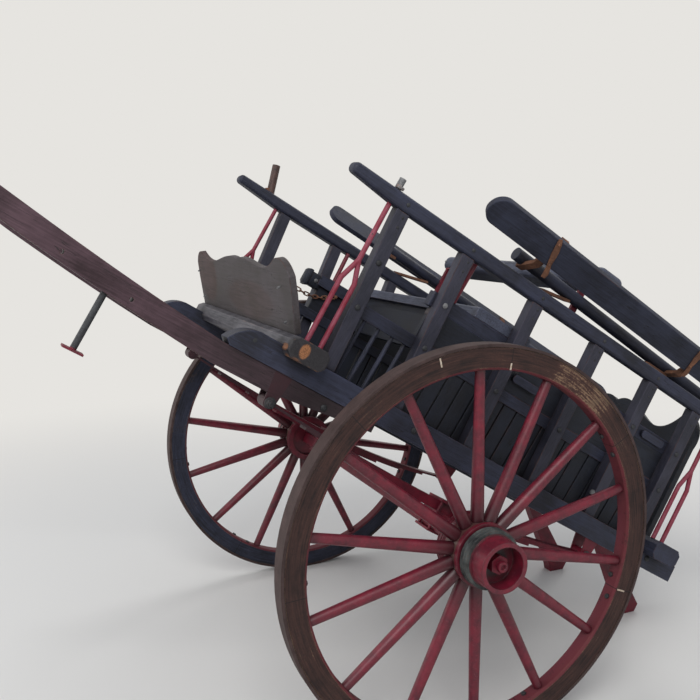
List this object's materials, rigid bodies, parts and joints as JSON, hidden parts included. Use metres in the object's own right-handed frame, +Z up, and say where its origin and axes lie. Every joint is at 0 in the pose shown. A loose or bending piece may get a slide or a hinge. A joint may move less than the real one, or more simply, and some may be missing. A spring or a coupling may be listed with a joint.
{
  "type": "horse cart",
  "caption": "Two wheeled wooden horse cart with slatted sides, leaf springs and long shafts, parked tipped back with its shafts in the air.",
  "frame": {"origin": "on the ground below the middle of the parked cart's outer size", "axes": "+X forward, towards the shafts; +Y to the cart's left; +Z up"},
  "size_m": [3.4802, 1.806, 2.1516],
  "materials": {
    "worn_iron": "worn bare iron",
    "rim_wood": "worn dark brown timber",
    "red_wood": "faded red paint",
    "red_iron": "faded red paint",
    "dark_iron": "dull",
    "rusty_iron": "rusty",
    "shaft_wood": "worn varnish",
    "grey_wood": "weathered",
    "dark_wood": "worn blue black paint"
  },
  "bodies": {
    "cart": {"axle": "red_iron", "axle_nuts": "red_iron", "board_brackets": "rusty_iron", "flare_boards": "dark_wood", "flare_straps": "rusty_iron", "floor_bearers": "dark_wood", "floor_boards": "dark_wood", "footboard": "grey_wood", "front_cross_beam": "grey_wood", "inner_rails": "dark_wood", "leaf_springs": "red_iron", "main_beams": "dark_wood", "mid_rails": "dark_wood", "rail_pins": "shaft_wood", "rear_cross_beam": "dark_wood", "seat": "dark_wood", "seat_panel": "dark_wood", "seat_rods": "red_iron", "shafts": "shaft_wood", "side_cleats": "dark_iron", "side_slats": "dark_wood", "side_spindles": "dark_wood", "side_stays": "red_iron", "spreader": "dark_wood", "spreader_irons": "red_iron", "spring_clamps": "red_iron", "spring_hangers": "red_iron", "stakes": "dark_wood", "step": "dark_iron", "tail_feet": "red_iron", "tailboard": "dark_wood", "tie_straps": "rusty_iron", "top_rails": "dark_wood", "upper_boards": "dark_wood", "upper_rails": "dark_wood"},
    "left_wheel": {"left_wheel_hub": "red_wood", "left_wheel_hub_band": "dark_iron", "left_wheel_rim": "rim_wood", "left_wheel_spokes": "red_wood", "left_wheel_tyre": "worn_iron"},
    "right_wheel": {"right_wheel_hub": "red_wood", "right_wheel_hub_band": "dark_iron", "right_wheel_rim": "rim_wood", "right_wheel_spokes": "red_wood", "right_wheel_tyre": "worn_iron"}
  },
  "joints": [
    {"name": "left_wheel_turn", "type": "hinge", "parent": "cart", "child": "left_wheel", "pos_m": [-0.111, 0.751, 0.625], "axis": [0, 1, 0], "continuous": true},
    {"name": "right_wheel_turn", "type": "hinge", "parent": "cart", "child": "right_wheel", "pos_m": [-0.111, -0.751, 0.625], "axis": [0, 1, 0], "continuous": true}
  ]
}
